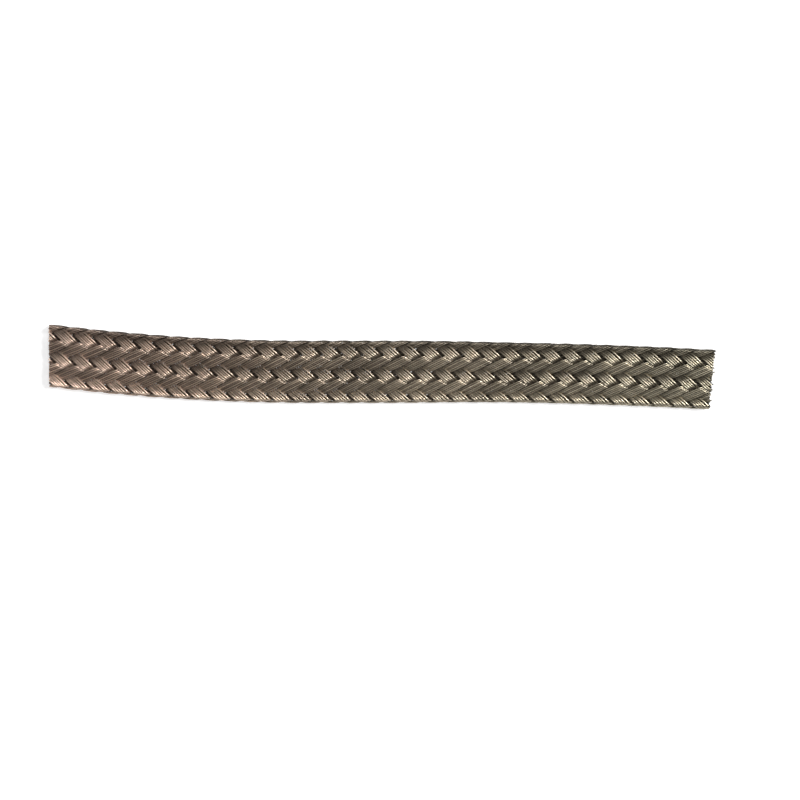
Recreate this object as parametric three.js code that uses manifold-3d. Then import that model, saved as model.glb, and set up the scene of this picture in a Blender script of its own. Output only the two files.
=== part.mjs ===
// Flexible busbar braid: a flattened tube of tinned copper wire, plaited from 24 strands.
// Twelve strands wind round the tube one way and twelve the other way, and each passes
// over two crossing strands and then under two, which gives herringbone rows along the
// braid. Every strand is a solid of its own. Millimetres; the braid lies flat on its broad
// side along +X, with its width along Y and its thickness along Z.

import * as THREE from 'three';
import { mergeVertices } from 'three/addons/utils/BufferGeometryUtils.js';
import Module from 'manifold-3d';

// Size of the braid, over the outside of its strands
const braidWidth = 10;
const braidThickness = 2.46;
const braidLength = 108.1;

// The weave: strands wound each way, how many strands each one crosses in a stitch and
// until the weave repeats, the length of one stitch, the place of the first, and how far
// the stitches lean along the braid for each millimetre across it
const strandsEachWay = 12;
const crossingsPerStitch = 2;
const crossingsPerRepeat = 4;
const stitchLean = 0.2;
const stitchPitch = 3.3;
const firstStitch = 0.4;

// One strand: the height of its section, the part of its lane that it fills, and the
// room between two strands where they cross
const strandHeight = 0.5;
const laneShare = 0.9;
const crossingClearance = 0.06;

// The rounded edges: how far the wall turns where a broad face ends, and how much of the
// weave, counted in rows of stitches, lies on each half of an edge
const shoulderTurn = THREE.MathUtils.degToRad(55);
const edgeHalfRows = 0.725;

// The slight sideways set of the braid, as two bends with a straight run between them
const startBendLength = 42.6;
const startBendRise = 2.54;
const endBendLength = 45.9;
const endBendDrop = 1.39;

// The far end is cut askew: its upper corner stands this far ahead of its lower one
const endCutSkew = 1.48;

// Tinned copper
const tinColour = 0xa89a8c;
const tinRoughness = 0.38;
const tinMetalness = 0.9;

// Worked out from the sizes above
const layerHeight = (strandHeight + crossingClearance) / 2;
const wallHalf = layerHeight + strandHeight / 2;
const lowerRim = strandHeight / 2 - layerHeight;
const wallSpacing = braidThickness - 2 * wallHalf;
const edgeFacet = wallSpacing / 2 / Math.sin(shoulderTurn);
const edgeReach = edgeFacet * Math.cos(shoulderTurn) + wallHalf / Math.sin(shoulderTurn);
const rowsRound = strandsEachWay;
const faceRows = rowsRound / 2 - 2 * edgeHalfRows;
const rowWidth = (braidWidth - 2 * edgeReach) / faceRows;
const crossings = (crossingsPerStitch * braidLength) / stitchPitch;
const halfStrand = laneShare / 2;

// Rows of stitches are counted round the tube, from the tip of its upper edge. The middle
// of the stitches of row 0 lies a quarter of a row past that tip, on the front face.
const upperTipRow = 0;

// Room for rounding, in rows and in crossings
const onTheLine = 1e-9;
const sameVertex = 1e-5;

// The middle of the tube's wall as a closed outline in Y and Z: two broad faces, joined
// at each edge by two facets. Every corner knows how many rows round the tube it lies.
function wallOutline() {
  const faceHalf = (faceRows * rowWidth) / 2;
  const tip = faceHalf + edgeFacet * Math.cos(shoulderTurn);
  const wall = wallSpacing / 2;
  const lowerTipRow = upperTipRow + rowsRound / 2;
  const corners = [
    { row: upperTipRow - edgeHalfRows, y: faceHalf, z: -wall },
    { row: upperTipRow, y: tip, z: 0 },
    { row: upperTipRow + edgeHalfRows, y: faceHalf, z: wall },
    { row: lowerTipRow - edgeHalfRows, y: -faceHalf, z: wall },
    { row: lowerTipRow, y: -tip, z: 0 },
    { row: lowerTipRow + edgeHalfRows, y: -faceHalf, z: -wall },
  ];
  return addMitres(corners);
}

// At each corner, the step that moves both neighbouring walls outwards by one millimetre
function addMitres(corners) {
  const count = corners.length;
  const normals = corners.map((corner, k) => {
    const next = corners[(k + 1) % count];
    const length = Math.hypot(next.y - corner.y, next.z - corner.z);
    return { y: (next.z - corner.z) / length, z: (corner.y - next.y) / length };
  });
  return corners.map((corner, k) => {
    const before = normals[(k + count - 1) % count];
    const after = normals[k];
    const share = 1 + before.y * after.y + before.z * after.z;
    return {
      ...corner,
      outY: (before.y + after.y) / share,
      outZ: (before.z + after.z) / share,
    };
  });
}

const outline = wallOutline();

// Where a point of the wall lies across the braid, from its row and its height on the wall
function acrossBraid(row, height) {
  const first = outline[0].row;
  const turned = THREE.MathUtils.euclideanModulo(row - first, rowsRound) + first;
  let k = outline.length - 1;
  while (k > 0 && outline[k].row > turned) k -= 1;
  const from = outline[k];
  const to = outline[(k + 1) % outline.length];
  const nextRow = k + 1 < outline.length ? to.row : to.row + rowsRound;
  const part = (turned - from.row) / (nextRow - from.row);
  return {
    y: THREE.MathUtils.lerp(from.y + from.outY * height, to.y + to.outY * height, part),
    z: THREE.MathUtils.lerp(from.z + from.outZ * height, to.z + to.outZ * height, part),
  };
}

// The sideways place and slope of the braid's centre line at a distance from its start
function centreLine(x) {
  const start = Math.max(0, 1 - x / startBendLength);
  const end = Math.max(0, 1 - (braidLength - x) / endBendLength);
  return {
    y: startBendRise * start ** 2 - endBendDrop * end ** 2,
    slope: (-2 * startBendRise * start) / startBendLength - (2 * endBendDrop * end) / endBendLength,
  };
}

// From the weave (stitches along, rows round, height on the wall) to millimetres
function placeInBraid(along, row, height) {
  const { y, z } = acrossBraid(row, height);
  const x = (along + firstStitch) * stitchPitch + stitchLean * y;
  const centre = centreLine(x);
  const turn = Math.atan(centre.slope);
  return new THREE.Vector3(x - y * Math.sin(turn), centre.y + y * Math.cos(turn), z);
}

// How far a crossing lies into the repeat of the weave
function placeInRepeat(lane, crossing) {
  return THREE.MathUtils.euclideanModulo(lane + crossing, crossingsPerRepeat);
}

// The two ways of winding. Both count p along the strand and q across it, in lanes.
// A falling strand goes down the front face as it runs along +X, a rising one goes up.
const windings = [
  {
    name: 'falling_strand',
    along: (p, q) => (p - q) / crossingsPerStitch,
    span: (lane) => [lane, lane + crossings],
    isOver: (lane, crossing) => placeInRepeat(lane, crossing) >= crossingsPerRepeat / 2,
    flipped: true,
  },
  {
    name: 'rising_strand',
    along: (p, q) => (q - p) / crossingsPerStitch,
    span: (lane) => [lane - crossings, lane],
    isOver: (lane, crossing) => placeInRepeat(lane, crossing) < crossingsPerRepeat / 2,
    flipped: false,
  },
];

// One strand as runs that lie above or below the strands they cross, two at a time. An
// upper run covers both of its crossings. A lower run is shorter: the strands above it are
// keels underneath, so it only has to be down where their keels are. The runs go on past
// both cuts by half a repeat of the weave.
function strandRuns(winding, lane) {
  const [from, to] = winding.span(lane);
  const spare = crossingsPerRepeat / 2;
  let first = Math.floor(from) - spare;
  while (!winding.isOver(lane, first) || winding.isOver(lane, first - 1)) first -= 1;
  const upper = (k) => ({ from: k - halfStrand, to: k + 1 + halfStrand, level: layerHeight });
  const lower = (k) => ({ from: k, to: k + 1, level: -layerHeight });
  const runs = [upper(first)];
  for (let k = first; runs.at(-1).to < to + spare; k += crossingsPerRepeat) {
    runs.push(lower(k + crossingsPerRepeat / 2), upper(k + crossingsPerRepeat));
  }
  return runs;
}

// The three long edges of a strand, which is flat outside and has a keel towards the
// inside of the tube. The keel of a lower run has only its lowest point.
function strandEdges(winding, lane) {
  const runs = strandRuns(winding, lane);
  const rim = (across) => runs.map(({ from, to, level }) => {
    const height = strandHeight / 2 + level;
    return [from, to].map((p) => ({ p, q: lane + across, height }));
  });
  const keel = runs.map(({ from, to, level }) => {
    const height = level - strandHeight / 2;
    const places = level > 0 ? [from, to] : [(from + to) / 2];
    return places.map((p) => ({ p, q: lane, height }));
  });
  return [rim(-halfStrand), rim(halfStrand), keel];
}

// The flat pieces between two long edges: one along each run, one from it to the next
function stripPieces(edge, opposite) {
  const pieces = [];
  edge.forEach((run, k) => {
    const across = opposite[k];
    const ring = [...run, ...[...across].reverse()];
    if (ring.length > 2) pieces.push(ring);
    if (k + 1 === edge.length) return;
    pieces.push(rampRing(run.at(-1), edge[k + 1][0], opposite[k + 1][0], across.at(-1)));
  });
  return pieces;
}

// The side of a ramp is bent. Its ring starts at the lower rim, so that its triangles meet
// there and stay below the flat outside of the strand.
function rampRing(...corners) {
  const start = corners.findIndex(({ height }) => height === lowerRim);
  return [...corners.slice(start), ...corners.slice(0, start)];
}

// Every line round the tube, counted in rows, at which a strand has to fold
function foldsBetween(low, high) {
  const folds = [];
  for (const corner of outline) {
    const turns = Math.ceil((low - corner.row) / rowsRound);
    for (let row = corner.row + turns * rowsRound; row < high; row += rowsRound) folds.push(row);
  }
  return folds;
}

const rowOf = (point) => (point.p + point.q) / crossingsPerStitch;

// Cuts a flat piece of a strand's surface in two along a line of constant row
function splitAtRow(polygon, row) {
  const side = polygon.map((point) => {
    const past = rowOf(point) - row;
    return Math.abs(past) < onTheLine ? 0 : Math.sign(past);
  });
  if (!side.includes(1) || !side.includes(-1)) return [polygon];
  const below = [];
  const above = [];
  polygon.forEach((point, k) => {
    const n = (k + 1) % polygon.length;
    if (side[k] <= 0) below.push(point);
    if (side[k] >= 0) above.push(point);
    if (side[k] * side[n] >= 0) return;
    const cut = pointAtRow(point, polygon[n], row);
    below.push(cut);
    above.push(cut);
  });
  return [below, above];
}

function pointAtRow(a, b, row) {
  const part = (row - rowOf(a)) / (rowOf(b) - rowOf(a));
  return {
    p: THREE.MathUtils.lerp(a.p, b.p, part),
    q: THREE.MathUtils.lerp(a.q, b.q, part),
    height: THREE.MathUtils.lerp(a.height, b.height, part),
  };
}

// All pieces of the long sides of a strand, folded where the wall folds
function strandPieces(winding, lane) {
  const edges = strandEdges(winding, lane);
  return edges
    .flatMap((edge, k) => stripPieces(edge, edges[(k + 1) % edges.length]))
    .flatMap(foldPiece);
}

function foldPiece(polygon) {
  const rows = polygon.map(rowOf);
  let pieces = [polygon];
  for (const row of foldsBetween(Math.min(...rows), Math.max(...rows))) {
    pieces = pieces.flatMap((piece) => splitAtRow(piece, row));
  }
  return pieces;
}

// The long sides of a strand as triangles, facing out, still open at both ends. Points
// that neighbouring pieces share are one vertex.
function openStrand(winding, lane) {
  const known = new Map();
  const positions = [];
  const index = [];
  const vertexOf = (point) => {
    const key = [point.p, point.q, point.height]
      .map((value) => Math.round(value / sameVertex))
      .join();
    if (!known.has(key)) {
      known.set(key, known.size);
      const along = winding.along(point.p, point.q);
      positions.push(...placeInBraid(along, rowOf(point), point.height));
    }
    return known.get(key);
  };
  for (const piece of strandPieces(winding, lane)) {
    const ring = (winding.flipped ? [...piece].reverse() : piece).map(vertexOf);
    for (let k = 1; k + 1 < ring.length; k += 1) index.push(ring[0], ring[k], ring[k + 1]);
  }
  return { positions, index };
}

// Closes both ends: every edge that has one triangle only gets a second one, to a corner
// of its own end
function closeEnds({ positions, index }) {
  const open = new Map();
  for (let k = 0; k < index.length; k += 3) {
    for (let e = 0; e < 3; e += 1) {
      const a = index[k + e];
      const b = index[k + ((e + 1) % 3)];
      if (!open.delete(`${b},${a}`)) open.set(`${a},${b}`, [a, b]);
    }
  }
  const after = new Map(open.values());
  const caps = [];
  while (after.size) {
    const [corner] = after.keys();
    let at = after.get(corner);
    after.delete(corner);
    while (after.get(at) !== corner) {
      const next = after.get(at);
      caps.push(corner, next, at);
      after.delete(at);
      at = next;
    }
    after.delete(at);
  }
  const geometry = new THREE.BufferGeometry();
  geometry.setAttribute('position', new THREE.Float32BufferAttribute(positions, 3));
  geometry.setIndex([...index, ...caps]);
  return geometry;
}

const wasm = await Module();
wasm.setup();

function toSolid(geometry) {
  return new wasm.Manifold(
    new wasm.Mesh({
      numProp: 3,
      vertProperties: geometry.attributes.position.array,
      triVerts: new Uint32Array(geometry.index.array),
    }),
  );
}

function toGeometry(solid) {
  const mesh = solid.getMesh();
  const geometry = new THREE.BufferGeometry();
  geometry.setAttribute('position', new THREE.BufferAttribute(mesh.vertProperties, 3));
  geometry.setIndex(new THREE.BufferAttribute(mesh.triVerts, 1));
  geometry.computeVertexNormals();
  return geometry;
}

// The block of space between the two cuts of the shears, square at the start and askew
// at the far end. It is taller and wider than the braid, so that only the cuts touch it.
function cutBlock() {
  const reach = 2 * braidWidth;
  const deep = 2 * braidThickness;
  const lean = (endCutSkew / braidWidth) * reach;
  const middle = centreLine(braidLength).y;
  const shape = new THREE.Shape();
  shape.moveTo(0, middle - reach);
  shape.lineTo(braidLength - lean, middle - reach);
  shape.lineTo(braidLength + lean, middle + reach);
  shape.lineTo(0, middle + reach);
  const block = new THREE.ExtrudeGeometry(shape, { depth: deep, bevelEnabled: false });
  block.translate(0, 0, -deep / 2);
  block.deleteAttribute('normal');
  block.deleteAttribute('uv');
  return toSolid(mergeVertices(block));
}

const betweenCuts = cutBlock();

function makeStrand(winding, lane) {
  const blank = toSolid(closeEnds(openStrand(winding, lane)));
  const material = new THREE.MeshStandardMaterial({
    color: tinColour,
    roughness: tinRoughness,
    metalness: tinMetalness,
  });
  const strand = new THREE.Mesh(toGeometry(blank.intersect(betweenCuts)), material);
  strand.name = `${winding.name}_${String(lane + 1).padStart(2, '0')}`;
  return strand;
}

function makeBraid() {
  const braid = new THREE.Group();
  braid.name = 'flexible_busbar_braid';
  for (const winding of windings) {
    for (let lane = 0; lane < strandsEachWay; lane += 1) braid.add(makeStrand(winding, lane));
  }
  return braid;
}

// The braid stands on the underside of its strands, with the origin below its middle
function standOnFloor(braid) {
  const box = new THREE.Box3().setFromObject(braid);
  const middle = box.getCenter(new THREE.Vector3());
  braid.position.set(-middle.x, -middle.y, -box.min.z);
}

const braid = makeBraid();
standOnFloor(braid);

export default braid;
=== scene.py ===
# Flexible busbar braid: the visual model. Each CAD strand is replaced by its own flat
# bundle of tinned copper wires, which follow the same weave round the same flattened tube.

import math
import random

import bpy
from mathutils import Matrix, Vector
from mathutils.kdtree import KDTree


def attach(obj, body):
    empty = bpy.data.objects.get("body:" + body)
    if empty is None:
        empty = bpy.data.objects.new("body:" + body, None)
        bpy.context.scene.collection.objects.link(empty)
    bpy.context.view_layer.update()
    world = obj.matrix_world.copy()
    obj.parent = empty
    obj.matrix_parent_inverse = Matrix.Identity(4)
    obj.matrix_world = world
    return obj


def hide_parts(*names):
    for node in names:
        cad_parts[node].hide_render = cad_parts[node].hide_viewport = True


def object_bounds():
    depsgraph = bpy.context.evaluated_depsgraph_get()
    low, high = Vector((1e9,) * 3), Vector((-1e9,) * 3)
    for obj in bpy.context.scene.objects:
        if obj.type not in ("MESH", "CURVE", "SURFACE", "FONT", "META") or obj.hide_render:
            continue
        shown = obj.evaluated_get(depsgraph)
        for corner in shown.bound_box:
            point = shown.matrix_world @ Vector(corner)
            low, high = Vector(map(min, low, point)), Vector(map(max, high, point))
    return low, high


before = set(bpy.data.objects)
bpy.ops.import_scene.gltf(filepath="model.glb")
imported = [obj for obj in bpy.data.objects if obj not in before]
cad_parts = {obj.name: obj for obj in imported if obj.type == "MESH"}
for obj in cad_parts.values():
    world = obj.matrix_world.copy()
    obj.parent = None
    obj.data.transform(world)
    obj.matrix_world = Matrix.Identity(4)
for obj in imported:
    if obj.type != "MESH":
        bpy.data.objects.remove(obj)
cad_low, cad_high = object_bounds()

# Lengths are in millimetres, and this brings them to the frame's metres
MM = 0.001

# The weave, with the CAD model's sizes. Rows are counted round the tube from its upper tip.
BRAID_LENGTH = 108.1
STRANDS_EACH_WAY = 12
STITCH_PITCH = 3.3
FIRST_STITCH = 0.4
CROSSINGS_PER_REPEAT = 4
HALF_REPEAT = CROSSINGS_PER_REPEAT / 2

# How far the stitches lean along the braid for each millimetre across it
START_LEAN = 0.06
STITCH_LEAN = 0.2
LEAN_END = 60.0

# Past its middle the weave is rolled round the tube by a part of a row
FAR_ROLL = 0.13
ROLL_START = 50.0
ROLL_END = 76.0

# One strand: a flat bundle of wires that lies above the strands it crosses, then below them.
# The run above is arched, its outer wires lie lower, and one falling wire stands proud.
WIRES_PER_STRAND = 5
MIDDLE_WIRE = (WIRES_PER_STRAND - 1) / 2
FALLING_WIRE_RADIUS = 0.142
RISING_WIRE_RADIUS = 0.118
LAYER_HEIGHT = 0.185
FLOAT_ARCH = 0.1
PILLOW_DROP = 0.06
DIVE_SPREAD = 0.88
PROUD_WIRE = 0
PROUD_WIRE_LIFT = 0.05
PROUD_WIRE_SHIFT = 0.045

# Each wire sways and heaves a little, by a sum of slow waves
WANDER = 0.02
WANDER_WAVES = 3
WANDER_RATES = (0.25, 1.1)

# The seeds of one winding's strands lie this far apart
LANE_SEED_STEP = 100

# Where a wire has its points, in crossings from the middle of a run; they crowd at the ramps
RUN_POINTS = [-1.0, -0.86, -0.72, -0.55, -0.3, 0.0, 0.3, 0.55, 0.72, 0.86]

# The flattened tube, as thick as the CAD model: a flat wall that turns back round both edges
BRAID_WIDTH = 10.05
BRAID_THICKNESS = (cad_high[2] - cad_low[2]) / MM
EDGE_HALF_ROWS = 0.72
FACE_ROWS = STRANDS_EACH_WAY / 2 - 2 * EDGE_HALF_ROWS
WALL_HALF = LAYER_HEIGHT + FLOAT_ARCH + FALLING_WIRE_RADIUS
EDGE_RISE = BRAID_THICKNESS / 2 - WALL_HALF
EDGE_REACH = 0.45
ROW_WIDTH = (BRAID_WIDTH - 2 * WALL_HALF - 2 * EDGE_REACH) / FACE_ROWS

# The part near the start is a little wider
START_WIDENING = 0.035
WIDE_END = 56.0
NARROW_START = 80.0

# The sideways set of the braid
START_BEND_LENGTH = 42.6
START_BEND_RISE = 2.66
END_BEND_LENGTH = 45.9
END_BEND_DROP = 1.27

# The cuts: square at the start, askew and a little frayed at the far end
END_CUT_MIDDLE = 108.4
END_CUT_SKEW = 1.0
START_TRIM = 0.06
END_TRIM = 0.1
FRAYED_SHARE = 0.14
FRAY = (0.15, 0.4)

# How bright the colour is painted on a run above, as painted highlights and shade, from its climb to
# its dive; places are in crossings from the run's middle. Where a strand lies below the others it gets
# painted shade.
UNSHADED_LIFT = 0.85
FALLING_PAINTED_LIGHT = (0.1, 1.0)
FALLING_PAINTED_LIGHT_PLACES = (-1.1, 0.15)
RISING_PAINTED_LIGHT = 1.25
RISING_CLIMB_PAINTED_LIGHT = 0.1
RISING_CLIMB_SHADE = 0.35
RISING_CLIMB_PLACES = (0.35, 0.8)

# Painted shade over the tube's upper fold, and a painted highlight on falling wires in its lower one,
# by row
UPPER_FOLD_PAINTED_SHADE = 1.1
UPPER_FOLD_FRONT = (0.25, 1.0)
UPPER_FOLD_BACK = (0.0, 0.3)
LOWER_FOLD_PAINTED_LIGHT = 1.2
LOWER_FOLD_START = (4.2, 4.9)
LOWER_FOLD_END = (5.9, 6.4)

# The tone of each wire from 0, dark, to 1, pale; a falling strand's wires keep to a part of it
TONE_STEP = 0.5
FALLING_TONES = (0.3, 0.8)
# A proud wire's pale tone is a painted highlight
PROUD_HIGHLIGHT_TONE = 0.9

# The tin's colour along the braid, from a reddish start to a greyer far end
TIN_COLOURS = [
    (0.0, (0.65, 0.49, 0.395, 1)),
    (0.2, (0.545, 0.42, 0.33, 1)),
    (0.45, (0.5, 0.415, 0.32, 1)),
    (1.0, (0.5, 0.45, 0.34, 1)),
]

# What the colour is multiplied by: worn patches, each wire's tone, its painted light and shade, and
# painted shade at the folds
PATCH_SCALE = 220
PATCH_RANGE = (0.3, 0.7)
PATCH_LEVELS = (0.72, 1.12)
TONE_LEVELS = (0.55, 1.2)
PAINTED_LIGHT_RANGE = (-0.5, 1.6)
PAINTED_LIGHT_LEVELS = (0.01, 1.4)
FOLD_RANGE = (0.6 * EDGE_RISE * MM, 1.15 * EDGE_RISE * MM)
FOLD_LEVELS = (0.55, 1.0)
ROUGHNESS = (0.28, 0.4)

# Where the braid lies in the photograph, in pixels, and the camera that sees it there
PHOTO_SIZE = 800
PHOTO_START_X = 50
PHOTO_END_X = 714
PHOTO_MIDDLE_Y = 367.5
CAMERA_TILT = math.radians(3)
CAMERA_LENS = 120
SENSOR_WIDTH = 36

# The lamps: name, azimuth, elevation, distance and size in metres, and strength in watts
LAMPS = [
    ("key", 22, 50, 1.2, 0.36, 13),
    ("overhead", 90, 84, 1.4, 0.7, 3),
    ("low fill", 190, 20, 1.3, 0.8, 5),
]
WORLD_STRENGTH = 0.13

# The floor is lifted to white far from the braid, and less near it, where its shadow lies
FLOOR_SIZE = 6
NEAR_FLOOR = 0.08
FAR_FLOOR = 0.6
NEAR_FLOOR_LIFT = 0.52


def fade(value, low, high):
    """0 up to the low end, 1 from the high end on, and a smooth rise between them."""
    share = min(1.0, max(0.0, (value - low) / (high - low)))
    return share * share * (3 - 2 * share)


def across_braid(row, height):
    """Place across the braid of a point at a row round the tube and a height on its wall."""
    half_turn = STRANDS_EACH_WAY / 2
    half_face = FACE_ROWS * ROW_WIDTH / 2
    turned = (row + EDGE_HALF_ROWS) % STRANDS_EACH_WAY
    side = 1 if turned < half_turn else -1
    turned %= half_turn
    if turned < 2 * EDGE_HALF_ROWS:
        angle = (turned / EDGE_HALF_ROWS - 1) * math.pi / 2
        normal = Vector((math.cos(angle) / EDGE_REACH, math.sin(angle) / EDGE_RISE)).normalized()
        y = half_face + EDGE_REACH * math.cos(angle)
        z = EDGE_RISE * math.sin(angle)
    else:
        normal = Vector((0, 1))
        y = half_face - (turned - 2 * EDGE_HALF_ROWS) * ROW_WIDTH
        z = EDGE_RISE
    return side * (y + normal.x * height), side * (z + normal.y * height)


def centre_line(x):
    """Sideways place and slope of the braid's centre line."""
    start = max(0.0, 1 - x / START_BEND_LENGTH)
    end = max(0.0, 1 - (BRAID_LENGTH - x) / END_BEND_LENGTH)
    place = START_BEND_RISE * start**2 - END_BEND_DROP * end**2
    start_slope = -2 * START_BEND_RISE * start / START_BEND_LENGTH
    end_slope = -2 * END_BEND_DROP * end / END_BEND_LENGTH
    return place, start_slope + end_slope


def place_in_braid(along, row, height):
    """From the weave to millimetres, with the start of the braid at x = 0."""
    x = (along + FIRST_STITCH) * STITCH_PITCH
    y, z = across_braid(row + FAR_ROLL * fade(x, ROLL_START, ROLL_END), height)
    y *= 1 + START_WIDENING * (1 - fade(x, WIDE_END, NARROW_START))
    x += y * (START_LEAN + (STITCH_LEAN - START_LEAN) * fade(x, 0, LEAN_END))
    place, slope = centre_line(x)
    turn = math.atan(slope)
    return Vector((x - y * math.sin(turn), place + y * math.cos(turn), z))


def braid_shift():
    """From the weave's own place to the frame, whose origin is under the plan's middle."""
    low_y = centre_line(BRAID_LENGTH)[0] - BRAID_WIDTH / 2
    high_y = centre_line(0)[0] + BRAID_WIDTH / 2
    return Vector((cad_low[0] / MM, -(low_y + high_y) / 2, BRAID_THICKNESS / 2))


class Winding:
    """One of the two ways in which strands wind round the tube.

    A place in the weave has a lane, which stays the same along a strand, and a reach, which
    grows along it. Half their sum is the row round the tube, and half their difference is the
    number of stitches along the braid. The spacing of the wires and the swing of the strand
    from side to side are in lanes. The climb and the dive each have a near and a far end, in
    crossings from the middle of the strand's run above the others.
    """

    def __init__(self, name, falling, seed, radius, spacing, spread, swing, run_middle, climb, dive):
        self.name = name
        self.falling = falling
        self.seed = seed
        self.radius = radius
        self.spacing = spacing
        self.spread = spread
        self.swing = swing
        self.run_middle = run_middle
        self.climb = climb
        self.dive = dive

    def along(self, lane, reach):
        """Stitches along the braid."""
        return (reach - lane) / 2 if self.falling else (lane - reach) / 2

    def run_at(self, lane, reach):
        """Crossings past the middle of the nearest run above the crossing strands."""
        past = (reach + lane - self.run_middle + HALF_REPEAT) % CROSSINGS_PER_REPEAT
        return past - HALF_REPEAT

    def lift(self, run):
        """1 where the strand lies above the ones it crosses, 0 where it lies below."""
        return 1 - fade(abs(run), *(self.climb if run < 0 else self.dive))

    def gap(self, run):
        """From wire to wire: widest in the middle of a run and squeezed where it dives."""
        aside = min(abs(run), HALF_REPEAT - abs(run))
        return self.spacing * (self.spread + (DIVE_SPREAD - self.spread) * aside * aside)

    def painted_light(self, run, row, wire):
        """How bright a wire's colour is painted along a run above: painted highlights and painted
        shade, with painted shade over the upper fold and a painted highlight on falling wires in the
        lower fold.
        """
        past_tip = (row + 1) % STRANDS_EACH_WAY - 1
        if past_tip > 0:
            upper_fold = 1 - fade(past_tip, *UPPER_FOLD_FRONT)
        else:
            upper_fold = 1 - fade(-past_tip, *UPPER_FOLD_BACK)
        if self.falling:
            at_climb, at_dive = FALLING_PAINTED_LIGHT
            lower_fold = fade(past_tip, *LOWER_FOLD_START) * (1 - fade(past_tip, *LOWER_FOLD_END))
            painted_brightness = at_climb + (at_dive - at_climb) * fade(run, *FALLING_PAINTED_LIGHT_PLACES)
            painted_brightness += (LOWER_FOLD_PAINTED_LIGHT - painted_brightness) * lower_fold
        else:
            climb_painted_light = RISING_CLIMB_PAINTED_LIGHT - RISING_CLIMB_SHADE * (wire - MIDDLE_WIRE)
            painted_brightness = RISING_PAINTED_LIGHT + climb_painted_light * fade(-run, *RISING_CLIMB_PLACES)
        return painted_brightness * (1 - UPPER_FOLD_PAINTED_SHADE * upper_fold)

    def span(self, lane):
        """The reaches between which a lane's strand passes through the whole braid."""
        crossings = 2 * BRAID_LENGTH / STITCH_PITCH
        if self.falling:
            return lane - 2, lane + crossings + 1
        return lane - crossings - 1, lane + 2


WINDINGS = [
    Winding(
        name="falling_strand",
        falling=True,
        seed=7,
        radius=FALLING_WIRE_RADIUS,
        spacing=0.184,
        spread=1.0,
        swing=0.09,
        run_middle=2.5,
        climb=(0.5, 1.34),
        dive=(0.6, 1.04),
    ),
    Winding(
        name="rising_strand",
        falling=False,
        seed=5007,
        radius=RISING_WIRE_RADIUS,
        spacing=0.193,
        spread=1.02,
        swing=0.0,
        run_middle=0.5,
        climb=(0.76, 1.24),
        dive=(0.78, 1.22),
    ),
]


def wire_stations(winding, lane):
    """The reaches at which the wires of a strand have their points."""
    low, high = winding.span(lane)
    middle = low - winding.run_at(lane, low)
    stations = []
    while middle < high + HALF_REPEAT:
        stations += [middle + step for step in RUN_POINTS]
        middle += HALF_REPEAT
    return stations


def wander(chance):
    """A slow irregular sway along a wire."""
    waves = []
    for _ in range(WANDER_WAVES):
        rate = chance.uniform(*WANDER_RATES)
        phase = chance.uniform(0, 2 * math.pi)
        waves.append((rate, phase))

    def sway(reach):
        total = sum(math.sin(rate * reach + phase) for rate, phase in waves)
        return WANDER * total / WANDER_WAVES

    return sway


def wire_points(winding, lane, wire, chance):
    """The centre line of one wire from cut to cut, in millimetres, with its painted light and shade as
    w.
    """
    aside = (wire - MIDDLE_WIRE) / MIDDLE_WIRE
    proud = winding.falling and wire == PROUD_WIRE
    sway = wander(chance)
    heave = wander(chance)
    start_trim = chance.uniform(-START_TRIM, START_TRIM)
    end_trim = chance.uniform(-END_TRIM, END_TRIM)
    if chance.random() < FRAYED_SHARE:
        end_trim += chance.uniform(*FRAY)
    points = []
    for reach in wire_stations(winding, lane):
        run = winding.run_at(lane, reach)
        lift = winding.lift(run)
        wire_lane = lane + (wire - MIDDLE_WIRE) * winding.gap(run) + sway(reach)
        wire_lane += winding.swing * math.sin(run * math.pi / 2)
        height = LAYER_HEIGHT * (2 * lift - 1) + heave(reach)
        height += lift * (FLOAT_ARCH * (1 - run * run) - PILLOW_DROP * aside * aside)
        if proud:
            wire_lane -= PROUD_WIRE_SHIFT * lift
            height += PROUD_WIRE_LIFT * lift
        row = (reach + wire_lane) / 2
        point = place_in_braid(winding.along(wire_lane, reach), row, height).to_4d()
        # Painted shade where the strand dips below the others, times the painted light and shade along
        # it
        point.w = fade(lift, 0, UNSHADED_LIFT) * winding.painted_light(run, row, wire)
        points.append(point)
    if not winding.falling:
        points.reverse()
    return trim(points, start_trim, end_trim)


def end_cut(y):
    """Where the far cut lies along the braid at a place across it."""
    middle = centre_line(BRAID_LENGTH)[0]
    return END_CUT_MIDDLE + (y - middle) * END_CUT_SKEW / BRAID_WIDTH


def cut_between(here, after, x):
    """The point at x on the line between two points."""
    return here.lerp(after, (x - here.x) / (after.x - here.x))


def trim(points, start_trim, end_trim):
    """Cuts a wire's points at both ends of the braid, a little past or short of the cuts."""
    inside = []
    for here, after in zip(points, points[1:]):
        first = -start_trim
        last = end_cut(here.y) + end_trim
        if after.x <= first or here.x >= last:
            continue
        if here.x < first:
            here = cut_between(here, after, first)
        inside.append(here)
        if after.x > last:
            inside.append(cut_between(here, after, last))
            return inside
    return inside


def wire_tone(winding, wire, chance):
    """How pale a wire is: every second one is paler, and a proud one is pale all over, as a painted
    highlight.
    """
    tone = TONE_STEP * (wire % 2) + chance.uniform(0, TONE_STEP)
    if not winding.falling:
        return tone
    if wire == PROUD_WIRE:
        return PROUD_HIGHLIGHT_TONE
    darkest, palest = FALLING_TONES
    return darkest + (palest - darkest) * tone


def deselect():
    bpy.ops.object.select_all(action="DESELECT")


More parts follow.
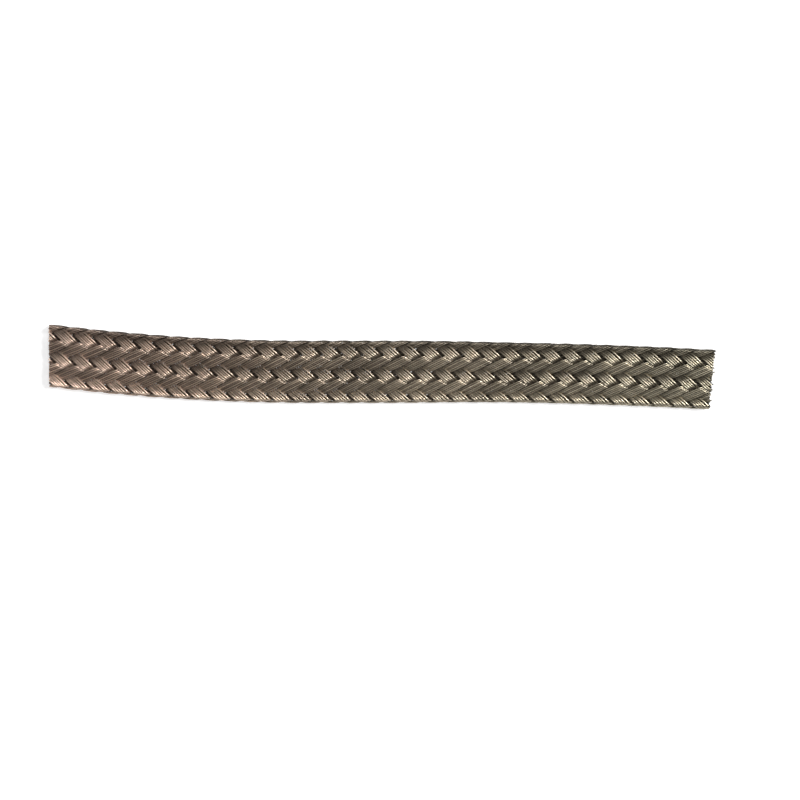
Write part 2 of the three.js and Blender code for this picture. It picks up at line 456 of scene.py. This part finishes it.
def add_wire(name, line, radius):
    """One round wire along a line in the frame."""
    curve = bpy.data.curves.new(name, "CURVE")
    curve.dimensions = "3D"
    curve.bevel_depth = radius * MM
    curve.bevel_resolution = 1
    curve.use_fill_caps = True
    spline = curve.splines.new("POLY")
    spline.points.add(len(line) - 1)
    flat = []
    for point in line:
        flat += [*point, 1.0]
    spline.points.foreach_set("co", flat)
    wire = bpy.data.objects.new(name, curve)
    bpy.context.collection.objects.link(wire)
    return wire


def nearest_painted_lights(mesh, line, painted_lights):
    """The painted light and shade of each vertex of a wire, from the nearest point of its centre line.
    """
    tree = KDTree(len(line))
    for number, point in enumerate(line):
        tree.insert(point, number)
    tree.balance()
    return [painted_lights[tree.find(vertex.co)[1]] for vertex in mesh.vertices]


def set_attribute(mesh, name, values):
    attribute = mesh.attributes.new(name, "FLOAT", "POINT")
    attribute.data.foreach_set("value", values)


def make_strand(winding, lane, shift, material):
    """The wires of one strand, joined to one piece that stands for its CAD node."""
    chance = random.Random(winding.seed + LANE_SEED_STEP * lane)
    name = f"{winding.name}_{lane + 1:02d}"
    wires = []
    lines = []
    painted_lights = []
    for number in range(WIRES_PER_STRAND):
        points = wire_points(winding, lane, number, chance)
        lines.append([(point.to_3d() + shift) * MM for point in points])
        painted_lights.append([point.w for point in points])
        wires.append(add_wire(f"{name}_wire_{number + 1}", lines[-1], winding.radius))
    deselect()
    for wire in wires:
        wire.select_set(True)
    bpy.context.view_layer.objects.active = wires[0]
    bpy.ops.object.convert(target="MESH")
    for number, wire in enumerate(wires):
        tone = wire_tone(winding, number, chance)
        set_attribute(wire.data, "wire_tone", [tone] * len(wire.data.vertices))
        set_attribute(wire.data, "wire_painted_light", nearest_painted_lights(wire.data, lines[number], painted_lights[number]))
    bpy.ops.object.join()
    strand = bpy.context.view_layer.objects.active
    bpy.ops.object.shade_smooth()
    strand.name = f"{name}_wires"
    strand.data.name = strand.name
    strand.data.materials.clear()
    strand.data.materials.append(material)
    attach(strand, "root")
    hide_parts(name)


def map_range(tree, value, from_range=(0.0, 1.0), to_range=(0.0, 1.0)):
    """Brings a value from one range to another and holds it at the ends."""
    node = tree.nodes.new("ShaderNodeMapRange")
    for side, number in zip(("From Min", "From Max", "To Min", "To Max"), from_range + to_range):
        node.inputs[side].default_value = number
    tree.links.new(value, node.inputs["Value"])
    return node.outputs["Result"]


def calculate(tree, operation, first, second=None):
    """Adds, multiplies or the like; the second value may be linked or a plain number."""
    node = tree.nodes.new("ShaderNodeMath")
    node.operation = operation
    tree.links.new(first, node.inputs[0])
    if isinstance(second, bpy.types.NodeSocket):
        tree.links.new(second, node.inputs[1])
    elif second is not None:
        node.inputs[1].default_value = second
    return node.outputs["Value"]


def read_attribute(tree, name):
    node = tree.nodes.new("ShaderNodeAttribute")
    node.attribute_name = name
    return node.outputs["Fac"]


def colour_along_braid(tree, x):
    """The tin's colour from the start of the braid to its far end."""
    colours = tree.nodes.new("ShaderNodeValToRGB")
    elements = colours.color_ramp.elements
    elements[0].color = TIN_COLOURS[0][1]
    elements[-1].color = TIN_COLOURS[-1][1]
    for place, colour in TIN_COLOURS[1:-1]:
        elements.new(place).color = colour
    tree.links.new(map_range(tree, x, (cad_low[0], cad_high[0])), colours.inputs["Fac"])
    return colours.outputs["Color"]


def tinned_copper():
    """Dull tinned copper wire: grey tin, worn through to a brown tint in places, with painted
    highlights and painted shade.
    """
    material = bpy.data.materials.new("tinned_copper_wire")
    material.use_nodes = True
    tree = material.node_tree
    surface = tree.nodes["Principled BSDF"]
    surface.inputs["Metallic"].default_value = 1.0

    place = tree.nodes.new("ShaderNodeTexCoord").outputs["Object"]
    noise = tree.nodes.new("ShaderNodeTexNoise")
    noise.inputs["Scale"].default_value = PATCH_SCALE
    noise.inputs["Detail"].default_value = 3
    tree.links.new(place, noise.inputs["Vector"])
    patches = noise.outputs["Fac"]
    axes = tree.nodes.new("ShaderNodeSeparateXYZ")
    tree.links.new(place, axes.inputs["Vector"])

    worn = map_range(tree, patches, PATCH_RANGE, PATCH_LEVELS)
    tone = map_range(tree, read_attribute(tree, "wire_tone"), to_range=TONE_LEVELS)
    # Painted highlights and painted shade, read from each wire's attribute
    painted_light = map_range(tree, read_attribute(tree, "wire_painted_light"), PAINTED_LIGHT_RANGE, PAINTED_LIGHT_LEVELS)
    # Painted shade on the tube's edges: darker where the wall lies near its middle height
    past_middle = calculate(tree, "SUBTRACT", axes.outputs["Z"], BRAID_THICKNESS / 2 * MM)
    from_middle = calculate(tree, "ABSOLUTE", past_middle)
    fold = map_range(tree, from_middle, FOLD_RANGE, FOLD_LEVELS)
    bare = calculate(tree, "MULTIPLY", worn, tone)
    painted_light_and_shade = calculate(tree, "MULTIPLY", painted_light, fold)
    level = calculate(tree, "MULTIPLY", bare, painted_light_and_shade)

    toned = tree.nodes.new("ShaderNodeVectorMath")
    toned.operation = "SCALE"
    tree.links.new(colour_along_braid(tree, axes.outputs["X"]), toned.inputs[0])
    tree.links.new(level, toned.inputs["Scale"])
    tree.links.new(toned.outputs["Vector"], surface.inputs["Base Color"])
    tree.links.new(map_range(tree, patches, to_range=ROUGHNESS), surface.inputs["Roughness"])
    return material


def add_camera():
    """Looks down on the braid so that it lies in the picture where the photograph has it."""
    scale = (PHOTO_END_X - PHOTO_START_X) / ((cad_high[0] - cad_low[0]) / MM)
    half = PHOTO_SIZE / 2
    distance = PHOTO_SIZE / scale * CAMERA_LENS / SENSOR_WIDTH
    aim_x = (half - (PHOTO_START_X + PHOTO_END_X) / 2) / scale
    aim_y = (PHOTO_MIDDLE_Y - half) / scale
    y = aim_y + distance * math.sin(CAMERA_TILT)
    z = BRAID_THICKNESS / 2 + distance * math.cos(CAMERA_TILT)
    deselect()
    bpy.ops.object.camera_add(location=Vector((aim_x, y, z)) * MM, rotation=(-CAMERA_TILT, 0, 0))
    camera = bpy.context.object
    camera.data.lens = CAMERA_LENS
    camera.data.sensor_width = SENSOR_WIDTH
    camera.data.clip_start = 0.01
    bpy.context.scene.camera = camera


def add_lamp(name, azimuth, elevation, distance, size, strength):
    """A square lamp that looks at the braid from a direction."""
    turn = math.radians(azimuth)
    rise = math.radians(elevation)
    level = math.cos(rise)
    direction = Vector((level * math.cos(turn), level * math.sin(turn), math.sin(rise)))
    deselect()
    bpy.ops.object.light_add(type="AREA", location=direction * distance)
    lamp = bpy.context.object
    lamp.name = name
    lamp.rotation_euler = direction.to_track_quat("Z", "Y").to_euler()
    lamp.data.size = size
    lamp.data.energy = strength


def add_light():
    world = bpy.context.scene.world or bpy.data.worlds.new("studio")
    bpy.context.scene.world = world
    world.use_nodes = True
    background = world.node_tree.nodes["Background"]
    background.inputs["Color"].default_value = (1, 1, 1, 1)
    background.inputs["Strength"].default_value = WORLD_STRENGTH
    for lamp in LAMPS:
        add_lamp(*lamp)


def add_floor():
    deselect()
    bpy.ops.mesh.primitive_plane_add(size=FLOOR_SIZE, location=(0, 0, 0))
    floor = bpy.context.object
    floor.name = "floor"
    floor.data.materials.append(pale_floor())


def pale_floor():
    """A pale floor that is lifted towards white where it is seen directly or in a reflection."""
    material = bpy.data.materials.new("pale_floor")
    material.use_nodes = True
    tree = material.node_tree
    surface = tree.nodes["Principled BSDF"]
    surface.inputs["Base Color"].default_value = (0.94, 0.94, 0.94, 1)
    surface.inputs["Roughness"].default_value = 0.7
    surface.inputs["Specular IOR Level"].default_value = 0.2
    surface.inputs["Emission Color"].default_value = (1, 1, 1, 1)

    rays = tree.nodes.new("ShaderNodeLightPath").outputs
    direct = calculate(tree, "ADD", rays["Is Camera Ray"], rays["Is Glossy Ray"])
    seen = calculate(tree, "ADD", direct, rays["Is Transmission Ray"])
    away = tree.nodes.new("ShaderNodeVectorMath")
    away.operation = "LENGTH"
    place = tree.nodes.new("ShaderNodeTexCoord").outputs["Object"]
    tree.links.new(place, away.inputs[0])
    lift = map_range(tree, away.outputs["Value"], (NEAR_FLOOR, FAR_FLOOR), (NEAR_FLOOR_LIFT, 1.0))
    tree.links.new(calculate(tree, "MULTIPLY", seen, lift), surface.inputs["Emission Strength"])
    return material


def main():
    bpy.context.scene.view_settings.view_transform = "Standard"
    add_camera()
    add_light()
    add_floor()
    material = tinned_copper()
    shift = braid_shift()
    for winding in WINDINGS:
        for lane in range(STRANDS_EACH_WAY):
            make_strand(winding, lane, shift, material)


main()
